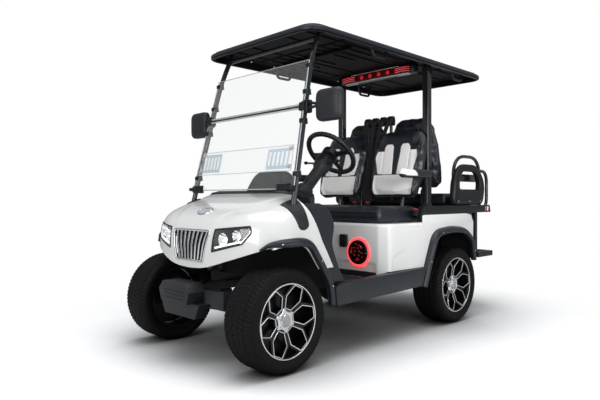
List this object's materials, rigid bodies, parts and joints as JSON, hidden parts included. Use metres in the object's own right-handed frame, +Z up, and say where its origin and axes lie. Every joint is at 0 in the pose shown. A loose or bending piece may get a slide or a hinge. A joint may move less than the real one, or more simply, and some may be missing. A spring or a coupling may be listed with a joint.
{
  "type": "golf cart",
  "caption": "Electric golf cart with a front bench, a rear-facing seat over a step, a long roof, a hinged front cushion, linked steering and wheels that roll.",
  "frame": {"origin": "on the ground under the middle of the cart's length and width", "axes": "+X to the front, +Y to the cart's left, +Z up"},
  "size_m": [2.73, 1.42, 1.9059],
  "materials": {
    "white_paint": "gloss",
    "black_plastic": "satin",
    "dark_plastic": "satin",
    "frame_paint": "satin",
    "cast_metal": "matt",
    "motor_metal": "matt",
    "battery_case": "matt",
    "chrome": "polished",
    "lamp": "clear",
    "red_lamp": "gloss",
    "clear_pane": "clear",
    "mirror_shell": "gloss",
    "vinyl": "satin",
    "tyre": "matt",
    "alloy": "machined",
    "floor_mat": "matt"
  },
  "bodies": {
    "chassis": {"frame_rails": "frame_paint", "crossmembers": "frame_paint", "front_axle": "cast_metal", "rear_axle": "cast_metal", "leaf_springs": "frame_paint", "motor": "motor_metal", "battery": "battery_case", "front_bumper": "dark_plastic", "hood": "white_paint", "grille": "chrome", "headlights": "lamp", "front_flares": "black_plastic", "rear_flares": "black_plastic", "rockers": "black_plastic", "floor_pan": "floor_mat", "dashboard": "dark_plastic", "knee_panels": "black_plastic", "pillar_covers": "dark_plastic", "windshield_posts": "frame_paint", "windshield_bars": "frame_paint", "upper_pane": "clear_pane", "lower_pane": "clear_pane", "side_mirrors": "mirror_shell", "steering_column": "dark_plastic", "pedals": "dark_plastic", "seat_pod": "white_paint", "rear_panel": "black_plastic", "seat_rails": "black_plastic", "speakers": "red_lamp", "charging_socket": "dark_plastic", "seat_frame": "frame_paint", "front_backrests": "vinyl", "front_armrests": "vinyl", "rear_backrests": "vinyl", "rear_armrests": "dark_plastic", "grab_hoops": "frame_paint", "rear_posts": "frame_paint", "roof": "black_plastic", "sound_bar": "red_lamp", "grab_handles": "black_plastic", "rear_step": "dark_plastic", "tail_lamps": "red_lamp", "seat_hinges": "cast_metal", "rear_cushion": "vinyl"},
    "front_cushion": {"front_cushion": "vinyl"},
    "steering_wheel": {"steering_wheel": "black_plastic"},
    "tie_rod": {"tie_rod": "cast_metal"},
    "knuckle_left": {"knuckle_left": "cast_metal"},
    "knuckle_right": {"knuckle_right": "cast_metal"},
    "wheel_front_left": {"tyre_front_left": "tyre", "rim_front_left": "alloy"},
    "wheel_front_right": {"tyre_front_right": "tyre", "rim_front_right": "alloy"},
    "wheel_rear_left": {"tyre_rear_left": "tyre", "rim_rear_left": "alloy"},
    "wheel_rear_right": {"tyre_rear_right": "tyre", "rim_rear_right": "alloy"}
  },
  "joints": [
    {"name": "steer_left", "type": "hinge", "parent": "chassis", "child": "knuckle_left", "pos_m": [1.065, 0.4, 0.272], "axis": [0, 0, 1], "range_deg": [-25, 25]},
    {"name": "steer_right", "type": "hinge", "parent": "chassis", "child": "knuckle_right", "pos_m": [1.065, -0.4, 0.272], "axis": [0, 0, 1], "range_deg": [-25.5, 25.5]},
    {"name": "tie_rod_slide", "type": "slide", "parent": "chassis", "child": "tie_rod", "axis": [0, 1, 0], "range_m": [-0.05, 0.05]},
    {"name": "steering_wheel_turn", "type": "hinge", "parent": "chassis", "child": "steering_wheel", "pos_m": [0.41, 0.3, 1.18], "axis": [-0.7071, 0, 0.7071], "range_deg": [-302, 302]},
    {"name": "front_seat_lid", "type": "hinge", "parent": "chassis", "child": "front_cushion", "pos_m": [-0.271, 0, 0.744], "axis": [0, -1, 0], "range_deg": [0, 40]},
    {"name": "spin_front_left", "type": "hinge", "parent": "knuckle_left", "child": "wheel_front_left", "pos_m": [1.065, 0.508, 0.272], "axis": [0, 1, 0], "continuous": true},
    {"name": "spin_front_right", "type": "hinge", "parent": "knuckle_right", "child": "wheel_front_right", "pos_m": [1.065, -0.508, 0.272], "axis": [0, 1, 0], "continuous": true},
    {"name": "spin_rear_left", "type": "hinge", "parent": "chassis", "child": "wheel_rear_left", "pos_m": [-0.605, 0.5, 0.272], "axis": [0, 1, 0], "continuous": true},
    {"name": "spin_rear_right", "type": "hinge", "parent": "chassis", "child": "wheel_rear_right", "pos_m": [-0.605, -0.5, 0.272], "axis": [0, 1, 0], "continuous": true}
  ],
  "couplings": [
    {"joint": "steer_right", "follows": "steer_left", "ratio": 1},
    {"joint": "tie_rod_slide", "follows": "steer_left", "m_per_rad": -0.11139},
    {"joint": "steering_wheel_turn", "follows": "steer_left", "ratio": 12}
  ]
}
